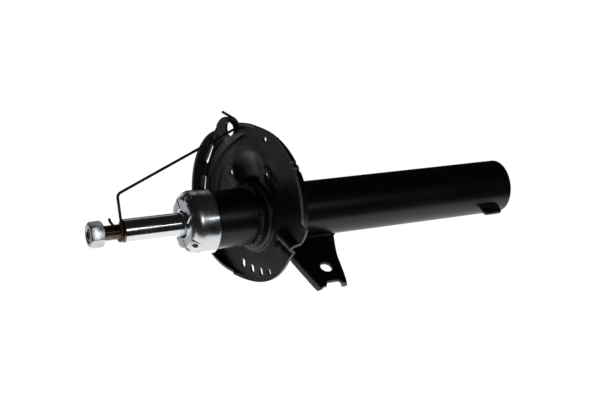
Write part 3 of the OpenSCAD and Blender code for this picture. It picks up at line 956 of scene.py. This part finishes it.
def rodNut():
    low, high = nutBottom / mm, rodTop / mm
    half, b = nutSize["flats"] / 2, nutSize["bevel"]
    corner = half / math.cos(math.pi / 6)
    nut = prism("rodNut", hexagon(nutSize["flats"]), low * mm, high * mm, "nut_zinc")
    nut.data.transform(Matrix.Rotation(math.radians(nutSize["turn"]), 4, "Z"))
    turned = ((0, low), (half - 0.9, low), (half - 0.4, low + 0.35), (corner + 0.2, low + b),
              (corner + 0.2, high - b), (half - 0.5, high - 0.1), (half - 0.9, high), (0, high))
    spin = lathe("nutTurning", [Vector(p) for p in turned], "nut_zinc", 120)
    cutWith(nut, [spin], "INTERSECT")
    drilled = ((0, low - 1), (8.2, low - 1), (7.6, low + 0.2), (6.9, low + 1.0), (6.9, high - 1.0),
               (7.6, high - 0.2), (8.2, high + 1), (0, high + 1))
    bore = lathe("nutBore", [Vector(p) for p in drilled], "nut_zinc", 96)
    cutWith(nut, [bore])
    cleanMesh(nut, 1e-6)
    return softEdges(nut, 0.3 * mm, 28, 2)


fit(rodNut(), "rod", "nut_zinc", "rod_nut")
print("rod, neck and nut turned")


# ---- retaining wire ----

wireSize = {
    "radius": 1.3,
    "hookRadius": 8.6,
    "hookHeight": 420.8,
    "stub": (12.2, 9.6, 426.2),
    # corner of each bend and how far from it the bend begins
    "turns": [((34, -8.6, 422), 4.0), ((86.5, 28, 281.5), 5.0), ((93, 20, 287), 4.5)],
    "tip": (101.5, 14, 303),
}


def retainingWire():
    size = wireSize
    stub, hold = Vector(size["stub"]), Vector((0, size["hookRadius"], size["hookHeight"]))
    fromStub, toHold = stub - Vector((4.2, 0.2, -0.5)), hold + Vector((4.5, 0, 0.2))
    points = []
    for k in range(12):
        t = k / 12
        points.append((1 - t) ** 3 * stub + 3 * t * (1 - t) ** 2 * fromStub
                      + 3 * t * t * (1 - t) * toHold + t ** 3 * hold)
    for k in range(25):
        a = math.radians(90 + 180 * k / 24)
        points.append(Vector((size["hookRadius"] * math.cos(a), size["hookRadius"] * math.sin(a),
                              size["hookHeight"])))
    corners = [points[-1]] + [Vector(p) for p, _ in size["turns"]] + [Vector(size["tip"])]
    for i, (_, reach) in enumerate(size["turns"], 1):
        before, at, after = corners[i - 1], corners[i], corners[i + 1]
        back, on = (before - at).normalized(), (after - at).normalized()
        start = at + back * reach
        last = points[-1]
        pieces = max(int((start - last).length / 3), 1)
        # hand-bent runs bow a little, the long one most
        bow = (0.5 if i == 2 else 0.15) * Vector((0.3, -1, 0.2))
        for s in range(1, pieces):
            t = s / pieces
            points.append(last + (start - last) * t + bow * math.sin(math.pi * t))
        for s in range(9):
            t = s / 8
            points.append(at + (1 - t) ** 2 * reach * back + t * t * reach * on)
    last, tip = points[-1], Vector(size["tip"])
    points += [last + (tip - last) * s / 6 for s in range(1, 7)]
    return sweep("retainingWire", [p * mm for p in points], size["radius"] * mm, "wire_steel", 16)


fit(retainingWire(), "wire", "wire_steel", "retaining_wire")
print("wire bent")


# ---- stage, lights and camera ----

def stageFloor():
    bpy.ops.mesh.primitive_plane_add(size=14)
    floor = bpy.context.object
    floor.name = "studioFloor"
    mat = newMaterial("studioFloor", (0.02, 0.02, 0.02), 0.0, 0.85)
    shader = mat.node_tree.nodes["Principled BSDF"]
    shader.inputs["Emission Color"].default_value = (1, 1, 1, 1)
    shader.inputs["Emission Strength"].default_value = 1.0
    floor.data.materials.append(mat)
    floor.visible_glossy = False
    floor.visible_shadow = False
    floor.visible_diffuse = False


def softLight(name, place, target, width, height, power, color=(1, 1, 1)):
    data = bpy.data.lights.new(name, "AREA")
    data.shape = "RECTANGLE"
    data.size = width
    data.size_y = height
    data.energy = power
    data.color = color
    lamp = bpy.data.objects.new(name, data)
    scene.collection.objects.link(lamp)
    lamp.location = place
    lamp.rotation_euler = (Vector(target) - Vector(place)).to_track_quat("-Z", "Y").to_euler()
    lamp.visible_camera = False


stageFloor()
# white boards beside and behind the part, and small cards for the bright metal
softLight("whiteTable", (-0.5, 0.8, 0.1), (0, 0.8, 0.1), 2.4, 2.2, 15)
softLight("whiteBack", (-0.95, 2.5, -0.3), (-0.5, 0, 0.1), 2.6, 1.8, 15)
softLight("rodStrip", (0.203, -1.144, -0.02), (0, 0, 0.38), 0.06, 0.56, 0.45)
softLight("capCard", (-0.088, 1.405, 0.878), (0, 0, 0.36), 0.8, 0.8, 0.7)
softLight("capStreak", (0.53, 1.5, 0.44), (0, 0, 0.36), 0.45, 0.5, 0.6)
softLight("topCard", (0.976, 0.776, 0.068), (0, 0, 0.4), 0.5, 0.5, 0.22)
softLight("nutCard", (0.17, -1.14, 0.19), (0, 0, 0.435), 0.34, 0.23, 0.6)
softLight("backSoftbox", (-0.07, 0.889, 1.3194), (0, 0, 0.24), 0.9, 0.9, 0.85, (0.93, 0.93, 1.0))

world = bpy.data.worlds.new("studioAir")
scene.world = world
world.use_nodes = True
world.node_tree.nodes["Background"].inputs["Color"].default_value = (0.95, 0.97, 1.0, 1)
world.node_tree.nodes["Background"].inputs["Strength"].default_value = 0.01
scene.view_settings.view_transform = "Standard"

cameraData = bpy.data.cameras.new("camera")
cameraData.lens = 64.8
cameraData.sensor_width = 36
cameraData.clip_end = 30
camera = bpy.data.objects.new("camera", cameraData)
scene.collection.objects.link(camera)
cameraRight = Vector((-0.0935, -0.4489, -0.8888)).normalized()
cameraUp = Vector((0.9945, 0.0, -0.1046)).normalized()
cameraBack = cameraRight.cross(cameraUp).normalized()
cameraUp = cameraBack.cross(cameraRight)
place = Matrix((cameraRight, cameraUp, cameraBack)).transposed().to_4x4()
place.translation = (0.0591, -0.9464, 0.7088)
camera.matrix_world = place
scene.camera = camera
print("camera and lights set")
